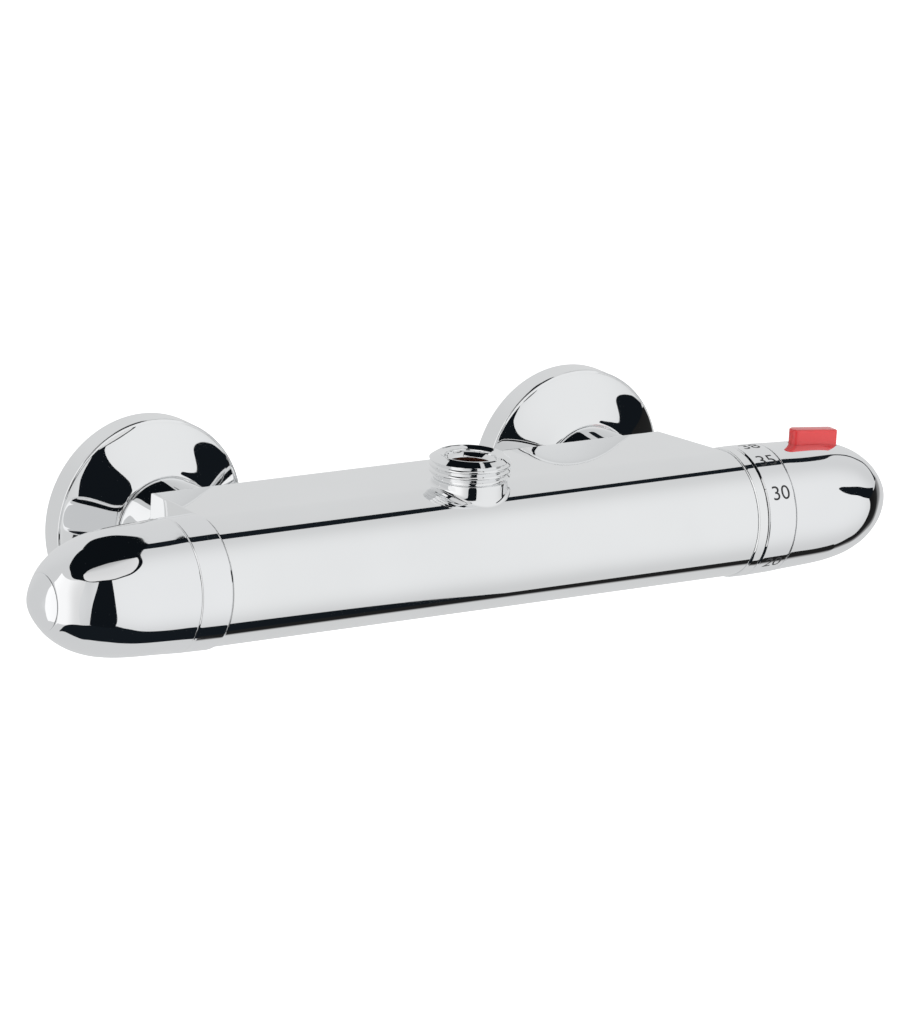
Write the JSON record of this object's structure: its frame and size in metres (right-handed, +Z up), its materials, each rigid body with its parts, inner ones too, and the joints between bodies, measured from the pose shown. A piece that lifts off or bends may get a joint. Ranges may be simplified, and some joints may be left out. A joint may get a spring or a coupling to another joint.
{
  "type": "thermostatic shower valve",
  "caption": "Wall-mounted bar thermostatic shower valve with a temperature handle and safety button on the right, a flow handle on the left and a threaded top outlet.",
  "frame": {"origin": "on the wall plane, midway between the two inlets, at the height of the bar's axis", "axes": "+X along the bar towards the temperature handle, +Y into the wall, +Z up"},
  "size_m": [0.2976, 0.1035, 0.0628],
  "materials": {
    "chrome": "polished chrome on brass",
    "chrome_plastic": "polished chrome on moulded plastic",
    "red_plastic": "glossy coral red, moulded",
    "brass": "machined",
    "copper_alloy": "drawn copper",
    "black_rubber": "moulded",
    "stainless": "bright",
    "white_plastic": "moulded",
    "grey_plastic": "moulded",
    "ceramic": "lapped ceramic"
  },
  "bodies": {
    "root": {"body_casting": "chrome", "temp_collar_ring": "chrome", "hot_inlet_spigot": "brass", "cold_inlet_spigot": "brass", "hot_filter_washer": "black_rubber", "cold_filter_washer": "black_rubber", "hot_filter_screen": "stainless", "cold_filter_screen": "stainless", "hot_s_union": "chrome", "cold_s_union": "chrome", "hot_rosette": "chrome", "cold_rosette": "chrome", "hot_union_nut": "chrome", "cold_union_nut": "chrome", "hot_check_housing": "white_plastic", "cold_check_housing": "white_plastic", "hot_check_spring": "stainless", "cold_check_spring": "stainless", "headwork_body": "brass", "headwork_o_ring": "black_rubber", "headwork_base_seal": "black_rubber", "lower_ceramic_disc": "ceramic", "flow_stop_ring": "white_plastic", "cartridge_housing": "grey_plastic", "cartridge_o_rings": "black_rubber", "cartridge_filter_sleeves": "stainless", "cartridge_hot_seat": "grey_plastic", "cartridge_cold_seat": "grey_plastic", "cartridge_lock_ring": "brass", "temp_stop_ring": "white_plastic", "return_spring": "stainless"},
    "flow_handle": {"flow_handle_ring": "chrome_plastic", "flow_handle_shell": "chrome_plastic", "flow_handle_cap": "chrome_plastic", "flow_handle_screw": "stainless", "flow_spline_adapter": "white_plastic", "headwork_spindle": "brass", "flow_spindle_circlip": "stainless", "flow_spindle_o_ring": "black_rubber", "upper_ceramic_disc": "ceramic"},
    "temp_handle": {"temp_scale_band": "chrome_plastic", "temp_handle_shell": "chrome_plastic", "temp_handle_cap": "chrome_plastic", "temp_handle_screw": "stainless", "temp_spline_adapter": "white_plastic", "regulating_spindle": "brass", "temp_spindle_circlip": "stainless", "temp_spindle_o_ring": "black_rubber", "button_spring": "stainless"},
    "safety_button": {"safety_button": "red_plastic"},
    "pusher": {"pusher_nut": "brass", "overload_spring": "stainless"},
    "overload": {"overload_cup": "white_plastic", "element_piston": "stainless"},
    "element": {"wax_element": "copper_alloy", "shuttle_valve": "grey_plastic", "shuttle_o_ring": "black_rubber"},
    "hot_poppet": {"hot_check_poppet": "white_plastic"},
    "cold_poppet": {"cold_check_poppet": "white_plastic"}
  },
  "joints": [
    {"name": "flow_handle_turn", "type": "hinge", "parent": "root", "child": "flow_handle", "pos_m": [-0.1, -0.06575, 0], "axis": [1, 0, 0], "range_deg": [0, 90]},
    {"name": "temp_handle_turn", "type": "hinge", "parent": "root", "child": "temp_handle", "pos_m": [0.1, -0.06575, 0], "axis": [1, 0, 0], "range_deg": [-145, 0]},
    {"name": "safety_button_press", "type": "slide", "parent": "temp_handle", "child": "safety_button", "axis": [0, 0, -1], "range_m": [0, 0.0024], "stiffness_N_per_m": 800, "deforming": ["button_spring"]},
    {"name": "pusher_travel", "type": "slide", "parent": "root", "child": "pusher", "axis": [1, 0, 0], "range_m": [0, 0.00245]},
    {"name": "overload_travel", "type": "slide", "parent": "pusher", "child": "overload", "axis": [1, 0, 0], "range_m": [0, 0.0015], "stiffness_N_per_m": 3000, "deforming": ["overload_spring"]},
    {"name": "element_stroke", "type": "slide", "parent": "root", "child": "element", "axis": [1, 0, 0], "range_m": [-0.0009, 0.0009], "stiffness_N_per_m": 2000, "deforming": ["return_spring"]},
    {"name": "hot_check_open", "type": "slide", "parent": "root", "child": "hot_poppet", "axis": [0, -1, 0], "range_m": [0, 0.0025], "stiffness_N_per_m": 100, "deforming": ["hot_check_spring"]},
    {"name": "cold_check_open", "type": "slide", "parent": "root", "child": "cold_poppet", "axis": [0, -1, 0], "range_m": [0, 0.0025], "stiffness_N_per_m": 100, "deforming": ["cold_check_spring"]}
  ],
  "couplings": [
    {"joint": "pusher_travel", "follows": "temp_handle_turn", "m_per_rad": -0.00095493}
  ]
}
